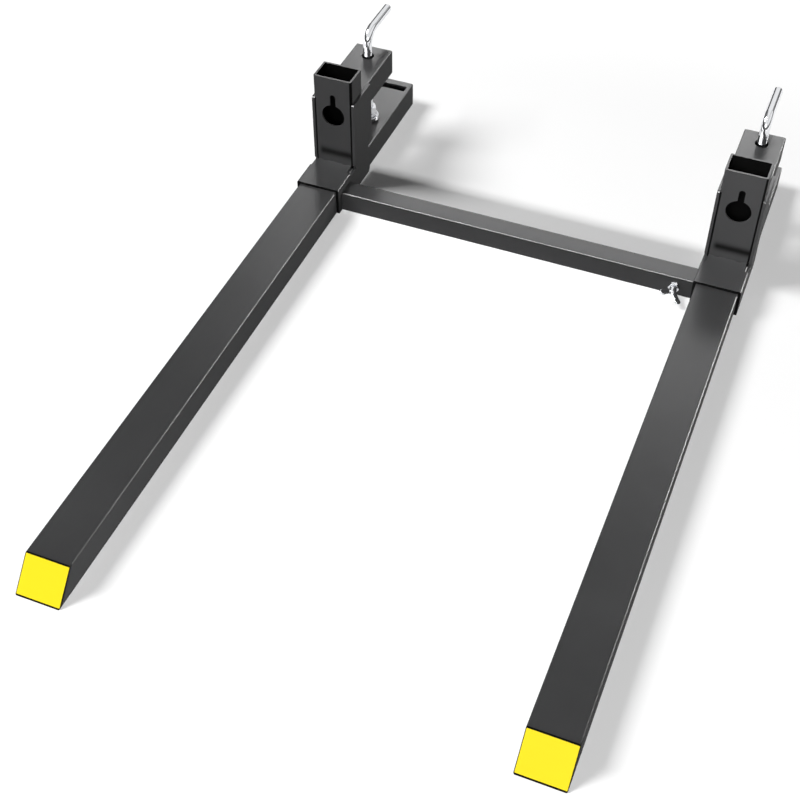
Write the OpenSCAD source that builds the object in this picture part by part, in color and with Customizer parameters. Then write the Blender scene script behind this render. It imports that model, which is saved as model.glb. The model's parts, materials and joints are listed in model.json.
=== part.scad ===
// Pair of clamp-on pallet forks joined by a telescoping stabiliser bar.
// +X runs from the left fork to the right fork, +Y from the tips to the clamps, +Z is up.
// The origin lies on the ground, midway between the forks and midway along them.

/* [Fork tubes] */
// Length of each fork, from the lower edge of its tip to its rear end
fork_length = 1108; // [900:1:1400]
// Distance between the fork centres with the bar pushed fully together
fork_spacing = 612; // [480:1:760]
// Width of the fork tube, which the upright and the upper arm share
tube_w = 60; // [54:1:76]
// Height of the fork tube
tube_h = 40; // [36:1:50]
// Wall thickness of the rectangular tubes
tube_wall = 3; // [2:0.5:4]
// Outer corner radius of the rectangular tubes
tube_corner = 2; // [1.5:0.5:6]
// How far the lower edge of the tip stands ahead of its upper edge
tip_bevel = 37; // [15:1:60]
// Thickness of the plate that closes the tip
tip_plate_t = 3; // [2:0.5:5]
// Thickness of the plates that close the rear ends of the tube and the arm
end_plate_t = 3; // [2:0.5:6]

/* [Slot near the rear end] */
// Length of the slot along the fork
slot_l = 14; // [10:1:30]
// Strip of the top wall left behind the slot
slot_strip = 12; // [8:1:20]
// Distance of the slot's ends from the tube's sides
slot_side = 6; // [5:0.5:12]

/* [Folded bracket] */
// Thickness of the folded plate
plate_t = 4; // [3:0.5:6]
// Inside radius of its two folds
fold_r = 1; // [0.5:0.5:2.5]
// Outside radius of its two folds
fold_outer_r = 2; // [1:0.5:5]
// Length of the saddle in front of the upright
saddle_l = 65; // [56:1:90]
// Length of the relief notch at the end of each fold
notch_l = 22; // [12:0.5:30]
// How far the notch reaches behind the upright's front
notch_back = 3.5; // [1:0.5:8]
// Width of the relief notch, measured in from the bracket's side
notch_w = 6.5; // [5.5:0.5:9]
// How far the notch reaches down the side below the top of the tube
notch_depth = 0.5; // [0.5:0.5:8]
// How far the notch reaches up the cheek above the saddle
notch_rise = 1; // [0.5:0.5:8]
// How far the cheeks reach behind the upright
cheek_back = 26; // [18:1:36]
// Height of the cheeks' rear lobe above the top of the tube
cheek_lobe_z = 14; // [8:1:24]
// How far the cheek steps forward below its rear lobe
cheek_step = 14; // [10:1:17]
// How far the cheek's foot stands back from the rear lobe
cheek_foot_step = 9; // [6:1:14]
// Corner radius of the cheek's rear lobe
cheek_lobe_r = 8; // [3:0.5:9]
// Corner radius of the cheek's foot
cheek_foot_r = 8; // [3:0.5:10]
// Small corner radius of the plate's other corners
plate_corner_r = 3; // [1:0.5:4]
// Distance of the two weld reliefs from the bracket's middle
relief_x = 16; // [10:1:18]
// Length of each weld relief
relief_l = 7; // [4:0.5:10]
// Width of each weld relief
relief_w = 1.2; // [0.8:0.1:2]

/* [Upright] */
// Depth of the upright tube along the fork
upright_d = 40; // [34:1:50]
// Height of the upright above the fork tube
upright_h = 152; // [140:1:190]
// Diameter of the keyhole's round part
keyhole_d = 36; // [26:1:40]
// Height of the keyhole's centre above the fork tube
keyhole_z = 88; // [70:1:100]
// Width of the keyhole's slot
keyhole_slot_w = 9; // [6:0.5:14]
// Reach of the keyhole's slot above the round part's centre
keyhole_slot_h = 36; // [26:1:42]

/* [Upper arm] */
// Length of the upper arm behind the upright
arm_l = 121; // [108:1:150]
// Height of the upper arm tube
arm_h = 40; // [34:1:50]
// Clear gap between the fork tube and the upper arm
jaw_gap = 74; // [64:1:90]
// How far the fork tube reaches behind the upper arm
tube_tail_l = 90; // [60:1:140]
// Distance of the clamp screw from the rear end of the arm
screw_from_end = 27; // [22:1:34]
// Diameter of the clearance hole in the arm's top wall
arm_hole_d = 19.5; // [16.5:0.5:22]

/* [Clamp screw] */
// Diameter of the clamp screw
rod_d = 14; // [12:0.5:15]
// Height of the handle's centre line above the arm
handle_rise = 39; // [34:1:60]
// Reach of the handle from the screw's axis to its end
handle_reach = 81; // [60:1:88]
// Bend radius of the handle, to the centre line
handle_bend_r = 20; // [14:1:26]
// Chamfer at the handle's end
handle_chamfer = 2; // [0.5:0.1:2.5]
// Width of the screw's two nuts across their flats
nut_af = 22; // [20:0.5:26]
// Height of the nut inside the arm
arm_nut_h = 11; // [8:0.5:16]
// Height of the lock nut above the foot
lock_nut_h = 10.5; // [8:0.5:14]
// Gap between the foot's collar and the lock nut
lock_nut_gap = 2; // [1:0.5:8]

/* [Swivel foot] */
// Diameter of the foot
foot_d = 32; // [26:1:40]
// Thickness of the foot's disc
foot_t = 8; // [6:0.5:11]
// Diameter of the foot's collar
collar_d = 20; // [17:0.5:24]
// Diameter of the screw's ball end
ball_d = 12; // [10:0.5:13]
// Diameter of the neck between the screw and its ball
neck_d = 8.5; // [6:0.5:9]
// Thickness of metal under the ball
foot_floor = 1.2; // [1:0.1:3]
// How far the collar closes over the ball's centre
collar_grip = 3.7; // [2:0.1:3.9]

/* [Stabiliser bar] */
// Width and height of the square outer bar
bar_w = 32; // [28:1:38]
// Wall thickness of the outer bar and the inner bar
bar_wall = 2.5; // [2:0.5:3.5]
// Outer corner radius of the two bars
bar_corner = 2; // [1.5:0.5:5]
// Distance of the bar's front face behind the saddle's front edge
bar_setback = 12; // [5:1:20]
// Length of the inner bar, from the bracket that it is welded to
inner_bar_l = 330; // [200:1:420]
// Play between the inner bar and the outer bar on each side
bar_play = 0.5; // [0.3:0.1:1]
// Distance of the wing screw from the outer bar's open end
wing_from_end = 26; // [18:1:60]

/* [Wing screw] */
// Diameter of the wing screw's thread
wing_rod_d = 8; // [6:0.5:9]
// Width of the welded nut across its flats
boss_af = 14; // [13:0.5:18]
// Thickness of the welded nut
boss_t = 6.5; // [4:0.5:10]
// Gap between the welded nut and the wing screw's hub
hub_gap = 2; // [1:0.5:6]
// Diameter of the hub
hub_d = 12; // [11:0.5:16]
// Length of the hub
hub_l = 9; // [6:0.5:14]
// Distance from the screw's axis to the middle of each wing's round end
wing_reach = 12.5; // [9:0.5:16]
// Radius of each wing's round end
wing_r = 5; // [4:0.5:7]
// How far the wings' round ends stand out in front of the hub's rear face
wing_out = 17; // [8:0.5:20]
// Thickness of the wings
wing_t = 3.5; // [2.5:0.5:5]
// Angle at which the wings stand, from level
wing_turn = 155; // [0:1:180]

/* [Fits] */
// Radial running clearance of the screws in their nuts
run_fit = 0.05; // [0.02:0.01:0.1]
// Radial clearance of the ball in the foot
ball_fit = 0.1; // [0.05:0.05:0.2]
// Gap left where a moving piece comes to rest on another
rest_gap = 0.3; // [0.2:0.1:0.6]

/* [Hidden] */
$fn = 64;
ARC_STEPS = 8;
CUT = 1;
WING_SINK = 0.5;

BLACK = [0.09, 0.09, 0.095];
YELLOW = [0.95, 0.85, 0.05];
ZINC = [0.75, 0.76, 0.78];

front_y = -fork_length / 2;
rear_y = fork_length / 2;
inner_w = tube_w - 2 * tube_wall;
tube_inner_r = max(tube_corner - tube_wall, 0.5);
plate_corner_gap = 1;

// Places along the fork, each worked out from the piece behind it
arm_rear_y = rear_y - tube_tail_l;
upright_rear_y = arm_rear_y - arm_l;
upright_y = upright_rear_y - upright_d;
saddle_y = upright_y - saddle_l;
cheek_y = upright_rear_y + cheek_back;
screw_y = arm_rear_y - screw_from_end;
slot_rear_y = rear_y - slot_strip;

// Heights above the ground
arm_z = tube_h + jaw_gap;
arm_top_z = arm_z + arm_h;
upright_top_z = tube_h + upright_h;
keyhole_centre_z = tube_h + keyhole_z;

// Bracket
bracket_w = tube_w + 2 * plate_t;
fold_depth = max(fold_r, fold_outer_r);
notch_h = notch_depth + plate_t + notch_rise;
notch_x = (bracket_w - notch_w + CUT) / 2;
notch_y = upright_y + notch_back - notch_l / 2;
notch_z = tube_h - notch_depth + notch_h / 2;
lobe_z = tube_h + cheek_lobe_z;
step_fillet_r = min(cheek_step - cheek_foot_step, 5);

// Tip
tip_angle = atan2(tip_bevel, tube_h);
tip_plate_y = tip_plate_t / cos(tip_angle);

// Clamp screw and foot
rod_r = rod_d / 2;
foot_z = tube_h + rest_gap;
ball_z = foot_z + foot_floor + ball_fit + ball_d / 2;
collar_top_z = ball_z + collar_grip;
lock_nut_z = collar_top_z + lock_nut_gap;
handle_z = arm_top_z + handle_rise;
arm_nut_z = arm_z + tube_wall;

// Stabiliser bar
bar_x0 = -fork_spacing / 2 + bracket_w / 2;
bar_x1 = fork_spacing / 2 - bracket_w / 2;
bar_y = saddle_y + bar_setback;
inner_bar_w = bar_w - 2 * bar_wall - 2 * bar_play;
bar_axis_z = bar_w / 2;
wing_x = bar_x1 - rest_gap - wing_from_end;
hub_y = bar_y - boss_t - hub_gap;

function arc(cx, cy, r, from, to) =
    [for (i = [0:ARC_STEPS]) let (a = from + (to - from) * i / ARC_STEPS) [cx + r * cos(a), cy + r * sin(a)]];

module on_left() translate([-fork_spacing / 2, 0, 0]) children();

module on_right() translate([fork_spacing / 2, 0, 0]) children();

// Rectangle with round corners, centred, made of squares and true circles
module round_rect(w, h, r) {
    square([w - 2 * r, h], center = true);
    square([w, h - 2 * r], center = true);
    for (x = [-1, 1], y = [-1, 1])
        translate([x * (w / 2 - r), y * (h / 2 - r)]) circle(r);
}

module tube_section(w, h, wall, r) {
    difference() {
        round_rect(w, h, r);
        round_rect(w - 2 * wall, h - 2 * wall, max(r - wall, 0.5));
    }
}

// Turns a flat section so that it stands across Y, its base at height z, and runs from y0 to y1
module along_y(y0, y1, h, z = 0) {
    translate([0, y1, z + h / 2]) rotate([90, 0, 0]) linear_extrude(y1 - y0) children();
}

// Everything behind the sloping tip face, moved back by the given distance
module behind_tip(back) {
    far = fork_length;
    translate([-tube_w, 0, 0]) rotate([90, 0, 90]) linear_extrude(2 * tube_w)
        polygon([
            [front_y + back - tip_bevel * CUT / tube_h, -CUT],
            [front_y + back + far, -CUT],
            [front_y + back + far, tube_h + CUT],
            [front_y + back + tip_bevel * (tube_h + CUT) / tube_h, tube_h + CUT]
        ]);
}

module fork_tube() {
    color(BLACK) difference() {
        intersection() {
            along_y(front_y, rear_y, tube_h) tube_section(tube_w, tube_h, tube_wall, tube_corner);
            behind_tip(tip_plate_y);
        }
        translate([-tube_w / 2 + slot_side, slot_rear_y - slot_l, tube_h - tube_wall - CUT])
            cube([tube_w - 2 * slot_side, slot_l, tube_wall + 2 * CUT]);
    }
}

module tip_plate() {
    color(YELLOW) difference() {
        intersection() {
            along_y(front_y, rear_y, tube_h) round_rect(tube_w, tube_h, tube_corner);
            behind_tip(0);
        }
        behind_tip(tip_plate_y);
    }
}

module rear_end_plate() {
    color(BLACK) along_y(rear_y - end_plate_t, rear_y, tube_h)
        round_rect(inner_w, tube_h - 2 * tube_wall, tube_inner_r + plate_corner_gap);
}

// Side view of the bracket's cheek, with Y across and Z up
module cheek_outline() {
    step_y = cheek_y - cheek_step;
    polygon(concat(
        arc(saddle_y + plate_corner_r, plate_corner_r, plate_corner_r, 180, 270),
        arc(cheek_y - cheek_foot_step - cheek_foot_r, cheek_foot_r, cheek_foot_r, 270, 360),
        arc(step_y + step_fillet_r, lobe_z - step_fillet_r, step_fillet_r, 180, 90),
        arc(cheek_y - cheek_lobe_r, lobe_z + cheek_lobe_r, cheek_lobe_r, 270, 360),
        arc(cheek_y - plate_corner_r, arm_top_z - plate_corner_r, plate_corner_r, 0, 90),
        arc(upright_y + plate_corner_r, arm_top_z - plate_corner_r, plate_corner_r, 90, 180),
        [[upright_y, tube_h - fold_r], [saddle_y, tube_h - fold_r]]
    ));
}

// The saddle and both its folds, seen along the fork
module saddle_section() {
    difference() {
        intersection() {
            translate([0, tube_h + plate_t - bracket_w / 2]) round_rect(bracket_w, bracket_w, fold_outer_r);
            translate([-bracket_w / 2, tube_h - fold_depth]) square([bracket_w, fold_depth + plate_t]);
        }
        translate([0, tube_h - tube_w / 2]) round_rect(tube_w, tube_w, fold_r);
    }
}

module bracket() {
    color(BLACK) difference() {
        union() {
            for (x = [-bracket_w / 2, tube_w / 2])
                translate([x, 0, 0]) rotate([90, 0, 90]) linear_extrude(plate_t) cheek_outline();
            translate([0, upright_y, 0]) rotate([90, 0, 0]) linear_extrude(saddle_l) saddle_section();
        }
        for (side = [-1, 1])
            translate([side * notch_x, notch_y, notch_z]) cube([notch_w + CUT, notch_l, notch_h], center = true);
        for (side = [-1, 1])
            translate([side * relief_x, upright_y, tube_h])
                cube([relief_l, 2 * relief_w, 4 * plate_t], center = true);
    }
}

module upright() {
    color(BLACK) difference() {
        translate([0, upright_y + upright_d / 2, tube_h]) linear_extrude(upright_h)
            tube_section(tube_w, upright_d, tube_wall, tube_corner);
        translate([0, upright_y + upright_d / 2, keyhole_centre_z]) rotate([90, 0, 0]) {
            cylinder(d = keyhole_d, h = upright_d);
            translate([0, keyhole_slot_h - keyhole_slot_w / 2, 0]) cylinder(d = keyhole_slot_w, h = upright_d);
            translate([-keyhole_slot_w / 2, 0, 0])
                cube([keyhole_slot_w, keyhole_slot_h - keyhole_slot_w / 2, upright_d]);
        }
    }
}

module upper_arm() {
    color(BLACK) difference() {
        along_y(upright_rear_y, arm_rear_y, arm_h, arm_z) tube_section(tube_w, arm_h, tube_wall, tube_corner);
        translate([0, screw_y, arm_z + arm_h / 2]) cylinder(d = arm_hole_d, h = arm_h);
        translate([0, screw_y, arm_z - CUT]) cylinder(d = rod_d + CUT, h = arm_h / 2);
    }
}

module arm_end_plate() {
    color(BLACK) along_y(arm_rear_y - end_plate_t, arm_rear_y, arm_h, arm_z)
        round_rect(inner_w, arm_h - 2 * tube_wall, tube_inner_r + plate_corner_gap);
}

module hex_nut(af, h, bore_d) {
    difference() {
        cylinder(d = af / cos(30), h = h, $fn = 6);
        translate([0, 0, -CUT]) cylinder(d = bore_d, h = h + 2 * CUT);
    }
}

module arm_nut() {
    color(ZINC) translate([0, screw_y, arm_nut_z]) hex_nut(nut_af, arm_nut_h, rod_d + 2 * run_fit);
}

module clamp_screw() {
    neck_top_z = lock_nut_z;
    straight_top_z = handle_z - handle_bend_r;
    leg_l = handle_reach - handle_bend_r;
    color(ZINC) translate([0, screw_y, 0]) {
        translate([0, 0, ball_z]) sphere(d = ball_d);
        translate([0, 0, ball_z]) cylinder(d = neck_d, h = neck_top_z - ball_z + CUT);
        translate([0, 0, neck_top_z]) cylinder(d = rod_d, h = straight_top_z - neck_top_z);
        translate([0, handle_bend_r, straight_top_z]) rotate([90, 0, -90]) rotate_extrude(angle = 90)
            translate([handle_bend_r, 0]) circle(d = rod_d);
        translate([0, handle_bend_r, handle_z]) rotate([-90, 0, 0]) {
            cylinder(d = rod_d, h = leg_l - handle_chamfer);
            translate([0, 0, leg_l - handle_chamfer])
                cylinder(d1 = rod_d, d2 = rod_d - 2 * handle_chamfer, h = handle_chamfer);
        }
    }
}

module lock_nut() {
    color(ZINC) translate([0, screw_y, lock_nut_z]) hex_nut(nut_af, lock_nut_h, rod_d + 2 * run_fit);
}

module swivel_foot() {
    color(ZINC) translate([0, screw_y, 0]) difference() {
        union() {
            translate([0, 0, foot_z]) cylinder(d = foot_d, h = foot_t);
            translate([0, 0, foot_z]) cylinder(d = collar_d, h = collar_top_z - foot_z);
        }
        translate([0, 0, ball_z]) sphere(d = ball_d + 2 * ball_fit);
    }
}

// Square section turned so that it runs along X from x0 to x1, centred on the bar's axis
module along_bar(x0, x1) {
    translate([x0, bar_y + bar_w / 2, bar_axis_z]) rotate([90, 0, 90]) linear_extrude(x1 - x0) children();
}

// Places its children on the wing screw's axis, with +Z running forward out of the bar's face
module on_wing_axis(y) translate([wing_x, y, bar_axis_z]) rotate([90, 0, 0]) children();

module outer_bar() {
    color(BLACK) difference() {
        along_bar(bar_x0, bar_x1 - rest_gap) tube_section(bar_w, bar_w, bar_wall, bar_corner);
        on_wing_axis(bar_y + bar_w / 2) cylinder(d = wing_rod_d + CUT, h = bar_w);
    }
}

module inner_bar() {
    color(BLACK) along_bar(bar_x1 - inner_bar_l, bar_x1)
        tube_section(inner_bar_w, inner_bar_w, bar_wall, bar_corner);
}

module wing_boss_nut() {
    color(ZINC) on_wing_axis(bar_y) hex_nut(boss_af, boss_t, wing_rod_d + 2 * run_fit);
}

// One wing, drawn with its reach across and its stand-off up
module wing_outline() {
    root_r = wing_r - WING_SINK;
    translate([wing_reach, wing_out]) circle(wing_r);
    polygon([
        [0, WING_SINK],
        [hub_d / 2, WING_SINK],
        [wing_reach + root_r * cos(-30), wing_out + root_r * sin(-30)],
        [wing_reach + root_r * cos(150), wing_out + root_r * sin(150)],
        [0, hub_l - WING_SINK]
    ]);
}

module wing_screw() {
    inner_face_y = bar_y + bar_wall + bar_play;
    tip_y = inner_face_y - rest_gap;
    color(ZINC) {
        on_wing_axis(tip_y) cylinder(d = wing_rod_d, h = tip_y - hub_y + CUT);
        on_wing_axis(hub_y) cylinder(d = hub_d, h = hub_l);
        on_wing_axis(hub_y) rotate([0, 0, wing_turn]) for (half = [0, 180])
            rotate([90, 0, half]) translate([0, 0, -wing_t / 2]) linear_extrude(wing_t) wing_outline();
    }
}

on_left() fork_tube();  // left_fork_tube
on_left() tip_plate();  // left_tip_plate
on_left() rear_end_plate();  // left_rear_end_plate
on_left() bracket();  // left_bracket
on_left() upright();  // left_upright
on_left() upper_arm();  // left_upper_arm
on_left() arm_end_plate();  // left_arm_end_plate
on_left() arm_nut();  // left_arm_nut
on_left() clamp_screw();  // left_clamp_screw
on_left() lock_nut();  // left_lock_nut
on_left() swivel_foot();  // left_swivel_foot
on_right() fork_tube();  // right_fork_tube
on_right() tip_plate();  // right_tip_plate
on_right() rear_end_plate();  // right_rear_end_plate
on_right() bracket();  // right_bracket
on_right() upright();  // right_upright
on_right() upper_arm();  // right_upper_arm
on_right() arm_end_plate();  // right_arm_end_plate
on_right() arm_nut();  // right_arm_nut
on_right() clamp_screw();  // right_clamp_screw
on_right() lock_nut();  // right_lock_nut
on_right() swivel_foot();  // right_swivel_foot
outer_bar();
inner_bar();
wing_boss_nut();
wing_screw();
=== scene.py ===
import json
import math
from types import SimpleNamespace

import bmesh
import bpy
from mathutils import Matrix, Vector

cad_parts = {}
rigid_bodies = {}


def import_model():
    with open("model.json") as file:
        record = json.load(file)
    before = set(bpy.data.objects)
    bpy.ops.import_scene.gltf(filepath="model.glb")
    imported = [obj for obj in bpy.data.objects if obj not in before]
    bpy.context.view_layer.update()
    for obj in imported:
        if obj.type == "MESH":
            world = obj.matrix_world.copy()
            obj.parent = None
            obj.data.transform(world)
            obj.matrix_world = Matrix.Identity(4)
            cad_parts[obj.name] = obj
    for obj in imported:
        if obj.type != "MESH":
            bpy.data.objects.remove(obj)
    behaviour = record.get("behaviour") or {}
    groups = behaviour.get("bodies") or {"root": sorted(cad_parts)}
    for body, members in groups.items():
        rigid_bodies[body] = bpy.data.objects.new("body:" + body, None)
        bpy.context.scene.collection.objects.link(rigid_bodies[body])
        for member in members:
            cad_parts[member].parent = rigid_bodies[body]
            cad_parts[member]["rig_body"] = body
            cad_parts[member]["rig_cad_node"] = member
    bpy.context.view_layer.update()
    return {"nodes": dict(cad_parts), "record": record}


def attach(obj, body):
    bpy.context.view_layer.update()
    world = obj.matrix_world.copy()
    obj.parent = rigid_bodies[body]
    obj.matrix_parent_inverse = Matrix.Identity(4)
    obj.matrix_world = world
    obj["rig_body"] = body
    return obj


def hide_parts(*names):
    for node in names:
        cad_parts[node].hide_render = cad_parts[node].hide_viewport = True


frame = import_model()

MM = 0.001
SIDES = {"left": -306 * MM, "right": 306 * MM}

# Sizes and places repeated from part.scad
TUBE_W, TUBE_H = 60 * MM, 40 * MM
TIP_Y, TIP_BEVEL, TIP_T = -554 * MM, 37 * MM, 3 * MM
SCREW_Y = 437 * MM
ARM_NUT_Z, ARM_NUT_H = 117 * MM, 11 * MM
LOCK_NUT_Z, LOCK_NUT_H = 53.3 * MM, 10.5 * MM
NUT_AF = 22 * MM
FOOT_Z, FOOT_T, FOOT_R, COLLAR_R = 40.3 * MM, 8 * MM, 16 * MM, 10 * MM
COLLAR_TOP_Z = 51.3 * MM
BALL_Z, BALL_R, NECK_R = 47.6 * MM, 6 * MM, 4.25 * MM
ROD_R, ROD_PITCH = 7 * MM, 2 * MM
HANDLE_Z, HANDLE_R, HANDLE_REACH = 193 * MM, 20 * MM, 81 * MM
SADDLE_Y = 238 * MM
UPRIGHT_Y, UPRIGHT_D, UPRIGHT_TOP_Z = 303 * MM, 40 * MM, 192 * MM
CHEEK_TOP_Z = 154 * MM
BAR_Y = 250 * MM
WING_X, WING_Z = 245.7 * MM, 16 * MM
HUB_Y, HUB_R, HUB_L = 241.5 * MM, 6 * MM, 9 * MM
WING_REACH, WING_OUT, WING_R, WING_T = 12.5 * MM, 17 * MM, 5 * MM, 3.5 * MM
WING_TURN = math.radians(155)
WING_ROD_R, WING_PITCH = 4 * MM, 1.25 * MM
WING_TIP_Y = 252.7 * MM
BOSS_AF, BOSS_T = 14 * MM, 6.5 * MM

# Fine shapes that the CAD leaves to this script
ARRIS, PLATE_ARRIS, BRACKET_ARRIS, RIM_ROLL = 0.5 * MM, 0.4 * MM, 0.8 * MM, 1.0 * MM
# Width and depth of the painted shade strips down the upright's front corners
SHADE_STRIP, SHADE_STRIP_SIDE = 2.6 * MM, 5.0 * MM
TIP_CORNER, TIP_EDGE, TIP_MARGIN = 2.0 * MM, 0.5 * MM, 1.1 * MM
GROOVE_WALL, GROOVE_DEPTH, PANEL_RISE = 0.1 * MM, 0.5 * MM, 0.45 * MM
THREAD_TOP_Z = 148 * MM
# How near counts as the same place, for merging and for picking
NEAR, SAME = 0.01 * MM, 0.001 * MM

# Finishes
DUST_SHARE = 0.25
# A soft dark band of painted shade across each upright's front: its height, its start left of the fork's middle, its
# spread and its fade-in
SHADE_BAND_Z, SHADE_BAND_START, SHADE_BAND_SPREAD, SHADE_BAND_FADE = 62 * MM, 27 * MM, 6.5 * MM, 9 * MM
SHADE_BAND_COLOUR = (0.004, 0.004, 0.004, 1)
# Faces that look left or right are duller, and their colour is darkened as painted shade
FLANK_TURN, FLANK_SHADE = (0.75, 0.97), 0.66

# Studio and camera
WORLD_FILL = 0.10
STUDIO_MIDDLE = Vector((0, 0.1, 0))
CAMERA_AT = Vector((0.430736, -1.258709, 1.304923))
CAMERA_TURN = (21.902, 46.073, -0.123)
FOCAL_PX, PHOTO_PX, SENSOR_W = 1364.387, 800.0, 36.0


# ---- Working by hand: selecting, editing, finishing ----

def only(*objs):
    """Select these objects and nothing else."""
    bpy.ops.object.select_all(action="DESELECT")
    for o in objs:
        o.select_set(True)
    bpy.context.view_layer.objects.active = objs[0]


def start_edit(obj, mode="FACE"):
    """Open an object for editing with nothing selected."""
    only(obj)
    bpy.ops.object.mode_set(mode="EDIT")
    bpy.ops.mesh.select_mode(type=mode)
    bpy.ops.mesh.select_all(action="DESELECT")


def pick(obj, kind, test):
    """Select the faces, edges or verts of the open object that pass the test."""
    bm = bmesh.from_edit_mesh(obj.data)
    bm.normal_update()
    for e in bm.verts[:] + bm.edges[:] + bm.faces[:]:
        e.select = False
    for e in getattr(bm, kind):
        if test(e):
            e.select_set(True)
    bmesh.update_edit_mesh(obj.data)


def end_edit():
    """Close the object that is open for editing."""
    bpy.ops.object.mode_set(mode="OBJECT")


def apply_modifier(obj, kind, **settings):
    """Put a modifier on and make its result the mesh."""
    only(obj)
    m = obj.modifiers.new(kind.lower(), kind)
    for k, v in settings.items():
        setattr(m, k, v)
    bpy.ops.object.modifier_apply(modifier=m.name)


def settle(obj):
    """Put the object's place into its mesh, with the object itself at the origin."""
    only(obj)
    bpy.ops.object.transform_apply(location=True, rotation=True, scale=True)
    return obj


def smooth(obj, degrees):
    """Shade smooth up to this angle, with the flat faces leading."""
    only(obj)
    bpy.ops.object.shade_smooth_by_angle(angle=math.radians(degrees), keep_sharp_edges=True)
    apply_modifier(obj, "WEIGHTED_NORMAL", mode="FACE_AREA", weight=50, keep_sharp=True)


def joined(name, *objs):
    """The objects made one."""
    only(*objs)
    bpy.ops.object.join()
    objs[0].name = name
    return objs[0]


def recalculate(obj):
    """Merge doubles and turn every face outwards."""
    start_edit(obj)
    bpy.ops.mesh.select_all(action="SELECT")
    bpy.ops.mesh.remove_doubles(threshold=NEAR)
    bpy.ops.mesh.normals_make_consistent(inside=False)
    end_edit()


def finish_piece(obj, name, body, material, nodes, angle=35):
    """Name a piece, give it its finish, put it on its body and let it stand for its CAD nodes."""
    settle(obj)
    smooth(obj, angle)
    obj.name = name
    if material is not None:
        obj.data.materials.clear()
        obj.data.materials.append(material)
    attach(obj, body)
    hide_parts(*nodes)
    return obj


# ---- Materials ----

# The colour sockets of a Mix node, whose names repeat
MIX_FIRST, MIX_SECOND, MIX_RESULT = 6, 7, 2


def new_group(name, inputs, outputs):
    """A shader node group with these sockets, opened for building."""
    g = bpy.data.node_groups.new(name, "ShaderNodeTree")
    for n, kind, value in inputs:
        g.interface.new_socket(name=n, in_out="INPUT", socket_type=kind).default_value = value
    for n, kind in outputs:
        g.interface.new_socket(name=n, in_out="OUTPUT", socket_type=kind)
    gi = g.nodes.new("NodeGroupInput")
    go = g.nodes.new("NodeGroupOutput")
    return SimpleNamespace(tree=g, nodes=g.nodes, link=g.links.new, put_in=gi.outputs, put_out=go.inputs)


def node(where, kind, **settings):
    """A new node, with its own settings and the plain values of its inputs."""
    n = where.nodes.new(kind)
    for k, v in settings.items():
        if k in n.bl_rna.properties:
            setattr(n, k, v)
        else:
            n.inputs[k.replace("_", " ")].default_value = v
    return n


def feed(where, source, socket):
    """Join a socket to its source, or set it where the source is a plain value."""
    if isinstance(source, bpy.types.NodeSocket):
        where.link(source, socket)
    else:
        socket.default_value = source


def reckon(where, operation, *terms):
    """The result of a Math node on sockets and plain numbers."""
    n = node(where, "ShaderNodeMath", operation=operation)
    for term, socket in zip(terms, n.inputs):
        feed(where, term, socket)
    return n.outputs[0]


def graded(where, value, start, end, low=0.0, high=1.0, way="SMOOTHSTEP"):
    """Goes from low to high while the value goes from start to end."""
    n = node(where, "ShaderNodeMapRange", interpolation_type=way)
    for term, name in ((value, "Value"), (start, "From Min"), (end, "From Max"), (low, "To Min"), (high, "To Max")):
        feed(where, term, n.inputs[name])
    return n.outputs["Result"]


def mixed(where, share, first, second, blend="MIX"):
    """Two colours mixed."""
    n = node(where, "ShaderNodeMix", data_type="RGBA", blend_type=blend)
    feed(where, share, n.inputs["Factor"])
    feed(where, first, n.inputs[MIX_FIRST])
    feed(where, second, n.inputs[MIX_SECOND])
    return n.outputs[MIX_RESULT]


def noise(where, at, scale, detail, roughness):
    """Noise over these coordinates."""
    n = node(where, "ShaderNodeTexNoise", Scale=scale, Detail=detail, Roughness=roughness)
    where.link(at, n.inputs["Vector"])
    return n.outputs["Fac"]


def axes(where, coordinate):
    """The X, Y and Z of one of a Texture Coordinate node's outputs."""
    at = node(where, "ShaderNodeTexCoord")
    parts = node(where, "ShaderNodeSeparateXYZ")
    where.link(at.outputs[coordinate], parts.inputs[0])
    return parts.outputs


def build_sprayed_skin():
    """Orange peel, slow tone drift and fine dust of a sprayed coat, from the object's own coordinates."""
    g = new_group(
        "sprayed skin",
        [("Colour", "NodeSocketColor", (0.5, 0.5, 0.5, 1)), ("Roughness", "NodeSocketFloat", 0.3),
         ("Peel", "NodeSocketFloat", 0.05), ("Drift", "NodeSocketFloat", 0.1)],
        [("Colour", "NodeSocketColor"), ("Roughness", "NodeSocketFloat"), ("Height", "NodeSocketFloat")])
    at = node(g, "ShaderNodeTexCoord").outputs["Object"]
    drift = noise(g, at, 7.0, 3.0, 0.55)
    peel = noise(g, at, 900.0, 2.0, 0.5)
    dust = noise(g, at, 2600.0, 1.0, 0.5)
    low = reckon(g, "SUBTRACT", 1.0, g.put_in["Drift"])
    high = reckon(g, "ADD", 1.0, g.put_in["Drift"])
    shade = graded(g, drift, 0.3, 0.7, low, high, way="LINEAR")
    grey = node(g, "ShaderNodeCombineColor")
    for s in ("Red", "Green", "Blue"):
        g.link(shade, grey.inputs[s])
    g.link(mixed(g, 1.0, g.put_in["Colour"], grey.outputs["Color"], "MULTIPLY"), g.put_out["Colour"])
    g.link(reckon(g, "MULTIPLY", g.put_in["Roughness"], shade), g.put_out["Roughness"])
    relief = reckon(g, "MULTIPLY_ADD", dust, DUST_SHARE, peel)
    g.link(reckon(g, "MULTIPLY", relief, g.put_in["Peel"]), g.put_out["Height"])
    return g.tree


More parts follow.
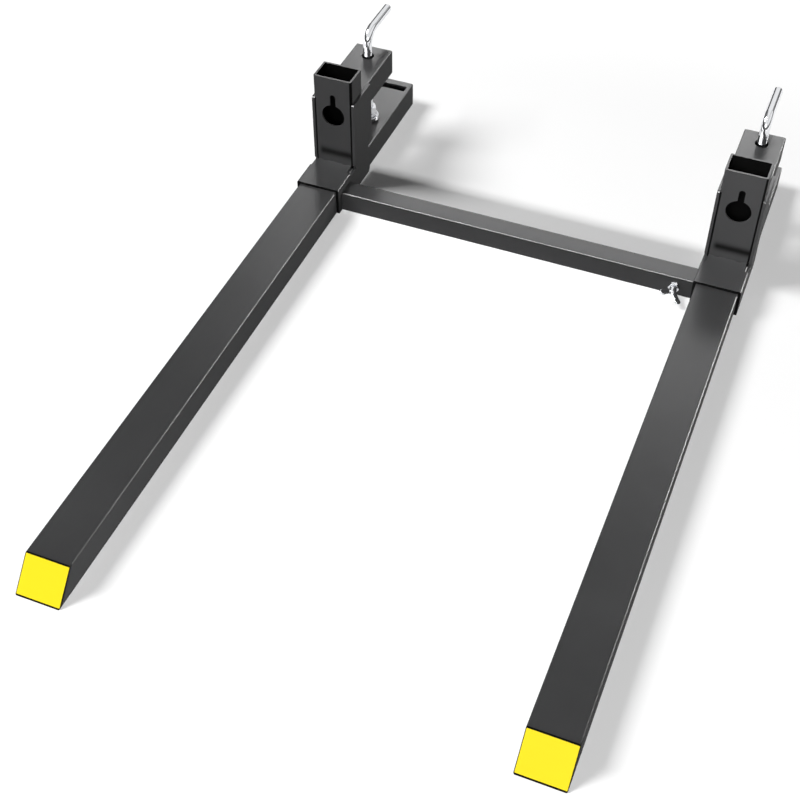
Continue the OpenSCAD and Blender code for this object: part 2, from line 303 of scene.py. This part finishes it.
def build_painted_shade_band():
    """A soft dark band of painted shade across a plate's front."""
    g = new_group(
        "painted shade band",
        [("Colour", "NodeSocketColor", (0.5, 0.5, 0.5, 1)), ("Start", "NodeSocketFloat", 0.0),
         ("Front", "NodeSocketFloat", 0.3), ("Height", "NodeSocketFloat", 0.06), ("Spread", "NodeSocketFloat", 0.003)],
        [("Colour", "NodeSocketColor")])
    at = axes(g, "Object")
    # How far a point lies above or below the band, as a share of its spread
    off = reckon(g, "DIVIDE", reckon(g, "SUBTRACT", at["Z"], g.put_in["Height"]), g.put_in["Spread"])
    band = reckon(g, "EXPONENT", reckon(g, "MULTIPLY", reckon(g, "MULTIPLY", off, off), -1.0))
    # It fades in from its left end, and lies on the front face alone
    fade = graded(g, reckon(g, "SUBTRACT", at["X"], g.put_in["Start"]), 0.0, SHADE_BAND_FADE)
    in_front = reckon(g, "LESS_THAN", at["Y"], g.put_in["Front"])
    mask = reckon(g, "MULTIPLY", reckon(g, "MULTIPLY", band, fade), in_front)
    g.link(mixed(g, mask, g.put_in["Colour"], SHADE_BAND_COLOUR), g.put_out["Colour"])
    return g.tree


def build_dull_shaded_flanks():
    """The coat as given on level and leaning faces, and on faces that look left or right duller and deeper, their
    colour darkened as painted shade.
    """
    g = new_group("dull flanks with painted shade",
                  [("Colour", "NodeSocketColor", (0.05, 0.05, 0.05, 1)), ("Roughness", "NodeSocketFloat", 0.3),
                   ("Dry", "NodeSocketFloat", 0.9), ("Shade", "NodeSocketFloat", 0.7)],
                  [("Colour", "NodeSocketColor"), ("Roughness", "NodeSocketFloat")])
    sideways = reckon(g, "ABSOLUTE", axes(g, "Normal")["X"])
    g.link(graded(g, sideways, *FLANK_TURN, g.put_in["Roughness"], g.put_in["Dry"]), g.put_out["Roughness"])
    deeper = node(g, "ShaderNodeVectorMath", operation="SCALE")
    g.link(g.put_in["Colour"], deeper.inputs[0])
    g.link(graded(g, sideways, *FLANK_TURN, 1.0, g.put_in["Shade"]), deeper.inputs["Scale"])
    g.link(deeper.outputs[0], g.put_out["Colour"])
    return g.tree


SKIN = build_sprayed_skin()
SHADE_BAND = build_painted_shade_band()
DULL_SHADED_FLANKS = build_dull_shaded_flanks()


def new_material(name):
    """A material with a shader on its output, opened for building."""
    m = bpy.data.materials.new(name)
    m.use_nodes = True
    nt = m.node_tree
    nt.nodes.clear()
    out = nt.nodes.new("ShaderNodeOutputMaterial")
    shader = nt.nodes.new("ShaderNodeBsdfPrincipled")
    nt.links.new(shader.outputs["BSDF"], out.inputs["Surface"])
    return m, SimpleNamespace(nodes=nt.nodes, link=nt.links.new, shader=shader)


def place_group(w, tree, **values):
    """A shader node group in a material, with this material's own values."""
    n = node(w, "ShaderNodeGroup", node_tree=tree)
    for name, value in values.items():
        feed(w, value, n.inputs[name])
    return n.outputs


def coated(name, colour, roughness, peel, drift):
    """A new material under the sprayed skin: its relief is in place, its colour and roughness are handed on."""
    m, w = new_material(name)
    skin = place_group(w, SKIN, Colour=(*colour, 1), Roughness=roughness, Peel=peel, Drift=drift)
    bump = node(w, "ShaderNodeBump", Strength=1.0, Distance=0.001)
    w.link(skin["Height"], bump.inputs["Height"])
    w.link(bump.outputs["Normal"], w.shader.inputs["Normal"])
    return m, w, skin["Colour"], skin["Roughness"]


def sprayed_paint(name, colour, roughness, ior, peel, drift, shade_band_from=None, dull_shaded_sides=False):
    """Sprayed paint, which may be duller on its flanks with painted shade there, and may carry a painted shade band
    from one place along X.
    """
    m, w, shown, rough = coated(name, colour, roughness, peel, drift)
    w.shader.inputs["IOR"].default_value = ior
    if dull_shaded_sides:
        flanks = place_group(w, DULL_SHADED_FLANKS, Colour=shown, Roughness=rough, Dry=1.0, Shade=FLANK_SHADE)
        shown, rough = flanks["Colour"], flanks["Roughness"]
    if shade_band_from is not None:
        shown = place_group(w, SHADE_BAND, Colour=shown, Start=shade_band_from, Front=UPRIGHT_Y + 0.5 * MM, Height=SHADE_BAND_Z,
                            Spread=SHADE_BAND_SPREAD)["Colour"]
    w.link(shown, w.shader.inputs["Base Color"])
    w.link(rough, w.shader.inputs["Roughness"])
    return m


def plated_steel(name, colour, roughness, peel, drift):
    """Bright plating."""
    m, w, shown, rough = coated(name, colour, roughness, peel, drift)
    w.shader.inputs["Metallic"].default_value = 1.0
    w.link(shown, w.shader.inputs["Base Color"])
    w.link(rough, w.shader.inputs["Roughness"])
    return m


BLACK_COAT = dict(colour=(0.048, 0.048, 0.049), roughness=0.24, ior=1.10, peel=0.02, drift=0.08, dull_shaded_sides=True)
BLACK = sprayed_paint("semi-gloss black paint", **BLACK_COAT)
# The uprights' paint carries the painted shade band
SHADE_BANDED = {side: sprayed_paint("black paint of the " + side + " upright", shade_band_from=x - SHADE_BAND_START, **BLACK_COAT)
          for side, x in SIDES.items()}
# Near-black and dull: painted shade for the saddle's front edge, the upright's front corner strips and its inside, and
# round the tip panels
PAINTED_SHADE_BLACK = sprayed_paint("dull black painted shade", (0.005, 0.005, 0.005), roughness=0.6, ior=1.0, peel=0.02, drift=0.08)
YELLOW = sprayed_paint("yellow paint", (0.98, 0.765, 0.02), roughness=0.42, ior=1.15, peel=0.02, drift=0.015)
ZINC = plated_steel("bright zinc plate", (0.80, 0.81, 0.83), roughness=0.13, peel=0.01, drift=0.06)


# ---- Welded steel: the CAD's own shapes with softened edges ----

def softened(cad, material, width, rim=None, dark=None, cuts=()):
    """A copy of a CAD node, merged and cleared of its triangles, with its sharp edges softened.
    Edges that pass the rim test are rolled over first, and faces that pass the dark test take the dull black painted
    shade."""
    src = frame["nodes"][cad]
    body = src["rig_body"]
    only(src)
    bpy.ops.object.duplicate()
    obj = bpy.context.view_layer.objects.active
    obj.parent = None
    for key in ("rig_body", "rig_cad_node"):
        if key in obj:
            del obj[key]
    start_edit(obj)
    bpy.ops.mesh.customdata_custom_splitnormals_clear()
    bpy.ops.mesh.select_all(action="SELECT")
    bpy.ops.mesh.remove_doubles(threshold=NEAR / 2)
    bpy.ops.mesh.dissolve_limited(angle_limit=math.radians(0.5))
    if rim:
        bpy.ops.mesh.select_mode(type="EDGE")
        pick(obj, "edges", rim)
        bpy.ops.mesh.bevel(offset=RIM_ROLL, segments=4, affect="EDGES", clamp_overlap=True)
    end_edit()
    apply_modifier(obj, "BEVEL", width=width, segments=2, limit_method="ANGLE",
                   angle_limit=math.radians(35), harden_normals=False, use_clamp_overlap=True)
    for place, way in cuts:
        start_edit(obj)
        bpy.ops.mesh.select_all(action="SELECT")
        bpy.ops.mesh.bisect(plane_co=place, plane_no=way)
        end_edit()
    if dark:
        obj.data.materials.clear()
        obj.data.materials.append(material)
        obj.data.materials.append(PAINTED_SHADE_BLACK)
        start_edit(obj)
        pick(obj, "faces", dark)
        bpy.context.object.active_material_index = 1
        bpy.ops.object.material_slot_assign()
        end_edit()
    return finish_piece(obj, cad + "_painted", body, None if dark else material, [cad])


def at_rim(e):
    """The upright's top edges, outside and inside."""
    return all(abs(v.co.z - UPRIGHT_TOP_Z) < NEAR for v in e.verts)


def saddle_front(f):
    """The saddle's sheared front edge, with its softened upper arris, which take the dull black painted shade."""
    at = f.calc_center_median()
    return at.y < SADDLE_Y + 1.2 * MM and (f.normal.y < -0.9 or (f.normal.y < -0.3 and at.z > TUBE_H))


def shade_strips_of(x):
    """Painted shade down the upright's front corners, and on its inside."""
    def test(f):
        at = f.calc_center_median()
        dx, dy = at.x - x, at.y - UPRIGHT_Y
        inside = abs(dx) < TUBE_W / 2 - 2 * MM and 2 * MM < dy < UPRIGHT_D - 2 * MM
        corner = abs(dx) > TUBE_W / 2 - SHADE_STRIP and dy < SHADE_STRIP_SIDE and f.normal.z < 0.5
        return (inside and f.normal.z < 0.99) or (corner and (dx > 0 or at.z < CHEEK_TOP_Z))
    return test


def scored(x):
    """Cuts across the upright's faces where its painted shade strips end."""
    return [((x - TUBE_W / 2 + SHADE_STRIP, 0, 0), (1, 0, 0)), ((x + TUBE_W / 2 - SHADE_STRIP, 0, 0), (1, 0, 0)),
            ((0, UPRIGHT_Y + SHADE_STRIP_SIDE, 0), (0, 1, 0)), ((0, 0, CHEEK_TOP_Z), (0, 0, 1))]


painted = {}
for side, x in SIDES.items():
    for part, width in (("fork_tube", ARRIS), ("rear_end_plate", PLATE_ARRIS), ("upper_arm", ARRIS),
                        ("arm_end_plate", PLATE_ARRIS)):
        painted[side + "_" + part] = softened(side + "_" + part, BLACK, width)
    painted[side + "_bracket"] = softened(side + "_bracket", BLACK, BRACKET_ARRIS, dark=saddle_front)
    painted[side + "_upright"] = softened(side + "_upright", SHADE_BANDED[side], PLATE_ARRIS, rim=at_rim,
                                          dark=shade_strips_of(x), cuts=scored(x))
for part in ("outer_bar", "inner_bar"):
    painted[part] = softened(part, BLACK, PLATE_ARRIS)


# ---- Tip faces: a black plate with a yellow panel let into it ----

def make_tip_face(side, x):
    """The plate that closes the tip, with its panel."""
    slope = math.atan2(TIP_BEVEL, TUBE_H)
    length = math.hypot(TIP_BEVEL, TUBE_H)
    bpy.ops.mesh.primitive_cube_add(size=1)
    tip = bpy.context.view_layer.objects.active
    tip.dimensions = (TUBE_W, TIP_T, length)
    settle(tip)
    # Stand the plate in its slope: front face through the tip's lower and upper edges
    start_edit(tip, "VERT")
    bm = bmesh.from_edit_mesh(tip.data)
    for v in bm.verts:
        up = v.co.z > 0
        back = TIP_T / math.cos(slope) if v.co.y > 0 else 0.0
        v.co = Vector((v.co.x + x, TIP_Y + back + (TIP_BEVEL if up else 0.0), TUBE_H if up else 0.0))
    bmesh.update_edit_mesh(tip.data)
    end_edit()
    # Round the four long corners as the tube's are
    start_edit(tip, "EDGE")
    pick(tip, "edges", lambda e: abs(e.verts[0].co.x - e.verts[1].co.x) < NEAR
         and abs(e.verts[0].co.z - e.verts[1].co.z) < NEAR)
    bpy.ops.mesh.bevel(offset=TIP_CORNER, segments=5, affect="EDGES")
    end_edit()
    front = Vector((0, -math.cos(slope), math.sin(slope)))
    # The yellow panel stands in a shallow groove: the front face set in, sunk, and drawn back up. The front-facing
    # faces round it are dull black painted shade.
    start_edit(tip, "FACE")
    pick(tip, "faces", lambda f: f.normal.dot(front) > 0.99)
    bpy.ops.mesh.inset(thickness=TIP_EDGE, use_even_offset=True)
    bpy.ops.mesh.inset(thickness=GROOVE_WALL, depth=-GROOVE_DEPTH)
    bpy.ops.mesh.inset(thickness=TIP_MARGIN)
    bpy.ops.transform.resize(value=(1.032, 0.98, 0.98), center_override=(x, TIP_Y + TIP_BEVEL / 2, TUBE_H / 2))
    bpy.ops.mesh.inset(thickness=GROOVE_WALL, depth=PANEL_RISE)
    for m in (BLACK, YELLOW, PAINTED_SHADE_BLACK):
        tip.data.materials.append(m)
    bm = bmesh.from_edit_mesh(tip.data)
    for f in bm.faces:
        facing = f.normal.dot(front)
        f.material_index = 1 if f.select else (2 if facing > 0.9 else 0)
    bmesh.update_edit_mesh(tip.data)
    end_edit()
    return finish_piece(tip, side + "_tip_face", side + "_fork", None, [side + "_tip_plate"])


for side, x in SIDES.items():
    make_tip_face(side, x)


# ---- Threads, nuts and screws ----

def make_thread(name, radius, pitch, z0, z1, steps=28):
    """A closed threaded rod: one tooth of the thread, wound up the axis, with both ends drawn in to a point."""
    depth = 0.6 * pitch
    turns = max(1, round((z1 - z0) / pitch))
    bpy.ops.mesh.primitive_plane_add(size=1)
    rod = bpy.context.view_layer.objects.active
    start_edit(rod, "VERT")
    bpy.ops.mesh.select_all(action="SELECT")
    bpy.ops.mesh.delete(type="VERT")
    bm = bmesh.from_edit_mesh(rod.data)
    tooth = [(radius - depth, 0.0), (radius - 0.12 * pitch, 0.40 * pitch), (radius, 0.45 * pitch),
             (radius, 0.55 * pitch), (radius - 0.12 * pitch, 0.60 * pitch), (radius - depth, pitch)]
    row = [bm.verts.new((r, 0, z0 + h)) for r, h in tooth]
    for a, b in zip(row, row[1:]):
        bm.edges.new((a, b))
    bmesh.update_edit_mesh(rod.data)
    end_edit()
    apply_modifier(rod, "SCREW", axis="Z", angle=2 * math.pi, steps=steps, render_steps=steps,
                   screw_offset=pitch, iterations=turns, use_merge_vertices=True,
                   merge_threshold=NEAR, use_smooth_shade=True)
    start_edit(rod, "EDGE")
    bpy.ops.mesh.select_all(action="SELECT")
    bpy.ops.mesh.remove_doubles(threshold=2 * NEAR)
    pick(rod, "edges", lambda e: e.is_boundary and (e.verts[0].co.z + e.verts[1].co.z) / 2 < (z0 + z1) / 2)
    bpy.ops.mesh.extrude_edges_move()
    bpy.ops.mesh.merge(type="CENTER")
    pick(rod, "edges", lambda e: e.is_boundary)
    bpy.ops.mesh.extrude_edges_move()
    bpy.ops.mesh.merge(type="CENTER")
    end_edit()
    recalculate(rod)
    rod.name = name
    return rod


def make_nut(name, af, height, bore_r, place, axis="Z"):
    """A hexagon nut: six-sided prism with turned chamfers and a countersunk bore."""
    across = af / math.cos(math.radians(30))
    bpy.ops.mesh.primitive_cylinder_add(vertices=6, radius=across / 2, depth=height)
    nut = bpy.context.view_layer.objects.active
    nut.rotation_euler = (0, 0, math.radians(30))
    settle(nut)
    # The turned blank that cuts the chamfers on both faces
    bpy.ops.mesh.primitive_cylinder_add(vertices=72, radius=across / 2 * 1.002, depth=height)
    blank = bpy.context.view_layer.objects.active
    start_edit(blank, "EDGE")
    pick(blank, "edges", lambda e: abs(abs(e.verts[0].co.z) - height / 2) < SAME
         and abs(e.verts[0].co.z - e.verts[1].co.z) < SAME)
    bpy.ops.mesh.bevel(offset_type="WIDTH", offset=0.16 * af, segments=1, affect="EDGES")
    bm = bmesh.from_edit_mesh(blank.data)
    for v in bm.verts:
        if abs(abs(v.co.z) - height / 2) > SAME:
            v.co.z = math.copysign(height / 2 - 0.055 * af, v.co.z)
    bmesh.update_edit_mesh(blank.data)
    end_edit()
    cut_with(nut, blank, "INTERSECT")
    bpy.ops.mesh.primitive_cylinder_add(vertices=48, radius=bore_r, depth=height * 1.5)
    bore = bpy.context.view_layer.objects.active
    cut_with(nut, bore, "DIFFERENCE")
    start_edit(nut, "EDGE")
    pick(nut, "edges", lambda e: all(abs(v.co.xy.length - bore_r) < NEAR for v in e.verts)
         and abs(e.verts[0].co.z - e.verts[1].co.z) < SAME)
    bpy.ops.mesh.bevel(offset=0.1 * bore_r, segments=2, affect="EDGES")
    end_edit()
    if axis == "Y":
        nut.rotation_euler = (math.radians(90), 0, 0)
        settle(nut)
    nut.location = place
    settle(nut)
    nut.name = name
    return nut


def cut_with(obj, tool, how):
    """Keep what the tool shares with the object, or take it out of the object, and throw the tool away."""
    apply_modifier(obj, "BOOLEAN", operation=how, object=tool, solver="EXACT")
    bpy.data.objects.remove(tool, do_unlink=True)


def make_clamp_rod(x):
    """The plain upper rod, its bend and the handle leg, drawn out of one round bar."""
    bend_z = HANDLE_Z - HANDLE_R
    bpy.ops.mesh.primitive_cylinder_add(vertices=48, radius=ROD_R, depth=bend_z - THREAD_TOP_Z,
                                        location=(x, SCREW_Y, (bend_z + THREAD_TOP_Z) / 2))
    rod = bpy.context.view_layer.objects.active
    settle(rod)
    start_edit(rod, "FACE")
    pick(rod, "faces", lambda f: f.normal.z > 0.9)
    bpy.ops.mesh.spin(steps=20, angle=math.radians(90), center=(x, SCREW_Y + HANDLE_R, bend_z), axis=(1, 0, 0))
    end_edit()
    if max((rod.matrix_world @ v.co).z for v in rod.data.vertices) < HANDLE_Z:
        raise RuntimeError("the handle bent the wrong way")
    start_edit(rod, "FACE")
    pick(rod, "faces", lambda f: f.normal.y > 0.99 and f.calc_center_median().z > HANDLE_Z - ROD_R)
    leg = HANDLE_REACH - HANDLE_R
    bpy.ops.mesh.extrude_region_move(TRANSFORM_OT_translate={"value": (0, leg, 0)})
    end_edit()
    start_edit(rod, "EDGE")
    pick(rod, "edges", lambda e: all(abs(v.co.y - (SCREW_Y + HANDLE_REACH)) < NEAR for v in e.verts))
    bpy.ops.mesh.bevel(offset=2 * MM, segments=3, affect="EDGES")
    end_edit()
    recalculate(rod)
    return rod


def make_ball_end(x):
    """The ball that sits in the foot, and its neck."""
    bpy.ops.mesh.primitive_uv_sphere_add(segments=32, ring_count=16, radius=BALL_R, location=(x, SCREW_Y, BALL_Z))
    ball = bpy.context.view_layer.objects.active
    settle(ball)
    bpy.ops.mesh.primitive_cylinder_add(vertices=32, radius=NECK_R, depth=LOCK_NUT_Z - BALL_Z + 2 * MM,
                                        location=(x, SCREW_Y, (LOCK_NUT_Z + BALL_Z) / 2 + 1 * MM))
    neck = bpy.context.view_layer.objects.active
    settle(neck)
    start_edit(neck, "FACE")
    pick(neck, "faces", lambda f: f.normal.z > 0.9)
    bpy.ops.mesh.extrude_region_move(TRANSFORM_OT_translate={"value": (0, 0, 0.8 * MM)})
    bpy.ops.transform.resize(value=(ROD_R / NECK_R * 0.9, ROD_R / NECK_R * 0.9, 1), center_override=(x, SCREW_Y, 0))
    end_edit()
    return joined("ball_end", ball, neck)


def make_clamp_screw(side, x):
    """The clamp screw in one piece: handle and rod, thread, ball end."""
    thread = make_thread("thread", ROD_R, ROD_PITCH, LOCK_NUT_Z, THREAD_TOP_Z + 2 * MM)
    thread.location = (x, SCREW_Y, 0)
    settle(thread)
    screw = joined(side + "_screw", make_clamp_rod(x), thread, make_ball_end(x))
    return finish_piece(screw, side + "_threaded_screw", side + "_screw", ZINC,
                        [side + "_clamp_screw"], angle=40)


def make_foot(side, x):
    """The swivel foot, turned from a round disc: rim, collar drawn in over the ball, and its pocket."""
    bpy.ops.mesh.primitive_cylinder_add(vertices=64, radius=FOOT_R, depth=FOOT_T,
                                        location=(x, SCREW_Y, FOOT_Z + FOOT_T / 2))
    foot = bpy.context.view_layer.objects.active
    settle(foot)
    start_edit(foot, "FACE")
    pick(foot, "faces", lambda f: f.normal.z > 0.9)
    bpy.ops.mesh.inset(thickness=FOOT_R - COLLAR_R)
    bpy.ops.mesh.extrude_region_move(
        TRANSFORM_OT_translate={"value": (0, 0, COLLAR_TOP_Z - FOOT_Z - FOOT_T)})
    bpy.ops.mesh.inset(thickness=COLLAR_R - NECK_R - 0.5 * MM)
    bpy.ops.mesh.extrude_region_move(TRANSFORM_OT_translate={"value": (0, 0, -2.2 * MM)})
    end_edit()
    start_edit(foot, "EDGE")
    pick(foot, "edges", lambda e: abs(e.verts[0].co.z - e.verts[1].co.z) < SAME
         and all((v.co.xy - Vector((x, SCREW_Y))).length > COLLAR_R - 0.1 * MM for v in e.verts)
         and e.verts[0].co.z > FOOT_Z + FOOT_T / 2)
    bpy.ops.mesh.bevel(offset=0.9 * MM, segments=3, affect="EDGES")
    pick(foot, "edges", lambda e: all(abs(v.co.z - FOOT_Z) < SAME for v in e.verts))
    bpy.ops.mesh.bevel(offset=2.2 * MM, segments=1, affect="EDGES")
    end_edit()
    return finish_piece(foot, side + "_turned_foot", side + "_foot", ZINC, [side + "_swivel_foot"])


for side, x in SIDES.items():
    make_clamp_screw(side, x)
    make_foot(side, x)
    lock = make_nut("lock", NUT_AF, LOCK_NUT_H, ROD_R, (x, SCREW_Y, LOCK_NUT_Z + LOCK_NUT_H / 2))
    finish_piece(lock, side + "_chamfered_lock_nut", side + "_screw", ZINC, [side + "_lock_nut"])
    held = make_nut("held", NUT_AF, ARM_NUT_H, ROD_R, (x, SCREW_Y, ARM_NUT_Z + ARM_NUT_H / 2))
    finish_piece(held, side + "_welded_arm_nut", side + "_fork", ZINC, [side + "_arm_nut"])


# ---- Wing screw ----

def make_wing(half):
    """One wing: a round pad and the web that carries it, both drawn out along the wing's slope."""
    bpy.ops.mesh.primitive_cylinder_add(vertices=32, radius=WING_R - 0.6 * MM, depth=WING_T - 1.2 * MM)
    pad = bpy.context.view_layer.objects.active
    settle(pad)
    start_edit(pad, "FACE")
    # The web: the round pad's lower faces drawn down to the hub
    lean = Vector((WING_REACH, WING_OUT - HUB_L * 0.35, 0)).normalized()
    pick(pad, "faces", lambda f: abs(f.normal.z) < 0.5 and f.normal.dot(-lean) > 0.45)
    run = math.hypot(WING_REACH, WING_OUT - HUB_L * 0.35) - 2.0 * MM
    for _ in range(3):
        bpy.ops.mesh.extrude_region_move(TRANSFORM_OT_translate={"value": tuple(-lean * run / 3)})
    end_edit()
    pad.location = (WING_REACH, WING_OUT, 0)
    settle(pad)
    # Drawn flat as reach and stand-off: stand it up on the screw's axis and turn it to its side
    pad.rotation_euler = (math.radians(90), 0, half)
    settle(pad)
    return pad


def make_wing_screw():
    """The wing screw: hub and two wings forged together, on a threaded rod."""
    bpy.ops.mesh.primitive_cylinder_add(vertices=48, radius=HUB_R - 0.6 * MM, depth=HUB_L - 0.6 * MM,
                                        location=(0, 0, (HUB_L - 0.6 * MM) / 2))
    hub = bpy.context.view_layer.objects.active
    settle(hub)
    start_edit(hub, "FACE")
    pick(hub, "faces", lambda f: f.normal.z > 0.9)
    bpy.ops.transform.resize(value=(0.8, 0.8, 1), center_override=(0, 0, HUB_L))
    end_edit()
    head = joined("head", hub, make_wing(0.0), make_wing(math.pi))
    # Forged in one piece: everything melted together, then rounded off
    apply_modifier(head, "REMESH", mode="VOXEL", voxel_size=0.32 * MM)
    apply_modifier(head, "DISPLACE", strength=0.6 * MM, mid_level=0.0)
    apply_modifier(head, "SMOOTH", factor=0.5, iterations=7)
    thread = make_thread("thread", WING_ROD_R, WING_PITCH, -(WING_TIP_Y - HUB_Y), 1.0 * MM, steps=24)
    screw = joined("screw", head, thread)
    screw.matrix_world = (Matrix.Translation((WING_X, HUB_Y, WING_Z)) @ Matrix.Rotation(math.radians(90), 4, "X")
                          @ Matrix.Rotation(WING_TURN, 4, "Z"))
    return finish_piece(screw, "forged_wing_screw", "wing_lock", ZINC, ["wing_screw"], angle=50)


make_wing_screw()
boss = make_nut("boss", BOSS_AF, BOSS_T, WING_ROD_R, (WING_X, BAR_Y - BOSS_T / 2, WING_Z), axis="Y")
finish_piece(boss, "chamfered_boss_nut", "left_fork", ZINC, ["wing_boss_nut"])


# ---- Finishes on the CAD nodes themselves ----

FINISH = {"black_paint": BLACK, "yellow_paint": YELLOW, "zinc_plate": ZINC}
for part in frame["record"]["subparts"]:
    own = frame["nodes"][part["node"]]
    own.data.materials.clear()
    own.data.materials.append(FINISH[part["material_slot"]])


# ---- Studio ----

def backdrop_rays(w):
    """1 for the rays that show the backdrop, which are the camera's own and those that gloss and glass send on,
    and 1 for the camera's own alone."""
    path = node(w, "ShaderNodeLightPath").outputs
    seen = reckon(w, "MAXIMUM", path["Is Camera Ray"], path["Is Glossy Ray"])
    return reckon(w, "MAXIMUM", seen, path["Is Transmission Ray"]), path["Is Camera Ray"]


def build_floor():
    """A pale ground that keeps the object's shadow."""
    bpy.ops.mesh.primitive_plane_add(size=14, location=(0, 0, 0))
    floor = bpy.context.view_layer.objects.active
    floor.name = "studio_floor"
    m, w = new_material("pale floor")
    w.shader.inputs["Base Color"].default_value = (0.8, 0.8, 0.8, 1)
    w.shader.inputs["Roughness"].default_value = 0.9
    w.shader.inputs["IOR"].default_value = 1.1
    w.shader.inputs["Emission Color"].default_value = (1, 1, 1, 1)
    seen = backdrop_rays(w)[0]
    at = node(w, "ShaderNodeTexCoord")
    far = node(w, "ShaderNodeVectorMath", operation="LENGTH")
    w.link(at.outputs["Object"], far.inputs[0])
    # The sweep is lit a little more away from the object, and past the set it is as white as the room
    near_glow = graded(w, far.outputs["Value"], 0.65, 1.15, 0.01, 0.14)
    far_glow = graded(w, far.outputs["Value"], 1.75, 3.2, 0.0, 0.9)
    glow = reckon(w, "MULTIPLY", seen, reckon(w, "ADD", near_glow, far_glow))
    w.link(glow, w.shader.inputs["Emission Strength"])
    floor.data.materials.append(m)
    return floor


def colour_ramp(w, value, *stops):
    """A grey ramp through these stops, each a place and a tone."""
    n = node(w, "ShaderNodeValToRGB")
    spots = n.color_ramp.elements
    for spot, (place, tone) in zip(spots, (stops[0], stops[-1])):
        spot.position, spot.color = place, (tone, tone, tone, 1)
    for place, tone in stops[1:-1]:
        spots.new(place).color = (tone, tone, tone, 1)
    w.link(value, n.inputs["Fac"])
    return n.outputs["Color"]


def build_world():
    """The air of the studio: a weak fill, and the room that bright metal shows."""
    world = bpy.data.worlds.new("studio air")
    bpy.context.scene.world = world
    world.use_nodes = True
    world.node_tree.nodes.clear()
    w = SimpleNamespace(nodes=world.node_tree.nodes, link=world.node_tree.links.new)
    seen, by_camera = backdrop_rays(w)
    way = axes(w, "Generated")
    # The room as gloss and metal see it: dark round the horizon, pale above
    room = colour_ramp(w, way["Z"], (0.20, 0.12), (0.42, 1.0))
    # Black flags to the left and right of the set, which draw the grey and dark lines down the bright rods
    across = graded(w, way["X"], -1.0, 1.0, way="LINEAR")
    flags = colour_ramp(w, across, (0.26, 0.2), (0.28, 1.0), (0.685, 1.0), (0.695, 0.06), (0.72, 0.06), (0.73, 1.0))
    # The camera sees the room plain white
    shown = mixed(w, by_camera, mixed(w, 1.0, room, flags, "MULTIPLY"), (1, 1, 1, 1))
    fill = (WORLD_FILL, WORLD_FILL, WORLD_FILL, 1)
    back = node(w, "ShaderNodeBackground")
    w.link(mixed(w, seen, fill, shown), back.inputs["Color"])
    w.link(back.outputs["Background"], node(w, "ShaderNodeOutputWorld").inputs["Surface"])


def group_of(name, pieces):
    """A collection for lights that serve these pieces alone."""
    group = bpy.data.collections.new(name)
    for p in pieces:
        group.objects.link(p)
    return group


def softbox(name, toward, elevation, away, size, radiance, group=None, card=False):
    """A rectangular softbox, placed by its compass direction from +Y and its height in degrees.
    It may serve one group of pieces alone, and a card shows in their gloss and sheds no light."""
    light = bpy.data.lights.new(name, "AREA")
    light.shape = "RECTANGLE"
    light.size, light.size_y = size
    light.energy = radiance * math.pi * size[0] * size[1]
    o = bpy.data.objects.new(name, light)
    bpy.context.scene.collection.objects.link(o)
    a, e = math.radians(toward), math.radians(elevation)
    way = Vector((math.sin(a) * math.cos(e), math.cos(a) * math.cos(e), math.sin(e)))
    o.location = STUDIO_MIDDLE + away * way
    o.rotation_euler = way.to_track_quat("Z", "Y").to_euler()
    o.visible_camera = False
    o.visible_diffuse = not card
    if group:
        o.light_linking.receiver_collection = group
    return o


floor = build_floor()
build_world()
paintwork = group_of("painted steel", painted.values())
whole = group_of("whole object", [o for o in bpy.data.objects if o.type == "MESH" and o != floor])
clamp = group_of("right clamp", [painted["right_bracket"], painted["right_upright"]])
left_tube = group_of("left fork tube", [painted["left_fork_tube"]])
softbox("key", -106, 46.7, 10.0, (3.54, 3.54), 22.0)
softbox("front", 172, 30, 3.6, (1.2, 0.8), 12.5, whole)
softbox("right_front", 172, 40, 2.4, (0.8, 0.8), 16.0, clamp)
softbox("side_fill", 167, 4, 0.875, (0.3, 0.08), 62.0, left_tube)
softbox("back_low", 4.5, 27, 4.5, (4.7, 1.4), 28.0, paintwork, card=True)
softbox("back_high", 1, 42, 4.5, (4.6, 0.9), 24.0, paintwork, card=True)
softbox("side_edges", 48, 22, 4.5, (2.0, 2.0), 215.0, paintwork, card=True)
softbox("front_edges", -150, 48, 4.5, (4.5, 3.8), 280.0, paintwork, card=True)
# The floor's own light, which only the two bars block, so that their shadow is a band on a white ground
wash = softbox("floor_wash", 180, 21, 16.0, (3.2, 1.6), 252.0, group_of("floor only", [floor]))
wash.light_linking.blocker_collection = group_of("bars only", [painted["outer_bar"], painted["inner_bar"]])


# ---- Camera, solved from the photo's corners ----

def build_camera():
    yaw, pitch, roll = (math.radians(a) for a in CAMERA_TURN)
    ahead = Vector((-math.sin(yaw) * math.cos(pitch), math.cos(yaw) * math.cos(pitch), -math.sin(pitch)))
    level = Vector((math.cos(yaw), math.sin(yaw), 0))
    down = ahead.cross(level)
    right = math.cos(roll) * level + math.sin(roll) * down
    lower = -math.sin(roll) * level + math.cos(roll) * down
    data = bpy.data.cameras.new("camera")
    data.sensor_width = SENSOR_W
    data.sensor_fit = "HORIZONTAL"
    data.lens = FOCAL_PX * SENSOR_W / PHOTO_PX
    data.clip_end = 50
    cam = bpy.data.objects.new("camera", data)
    bpy.context.scene.collection.objects.link(cam)
    turn = Matrix((right, -lower, -ahead)).transposed().to_4x4()
    cam.matrix_world = Matrix.Translation(CAMERA_AT) @ turn
    bpy.context.scene.camera = cam


build_camera()
bpy.context.scene.view_settings.view_transform = "Standard"
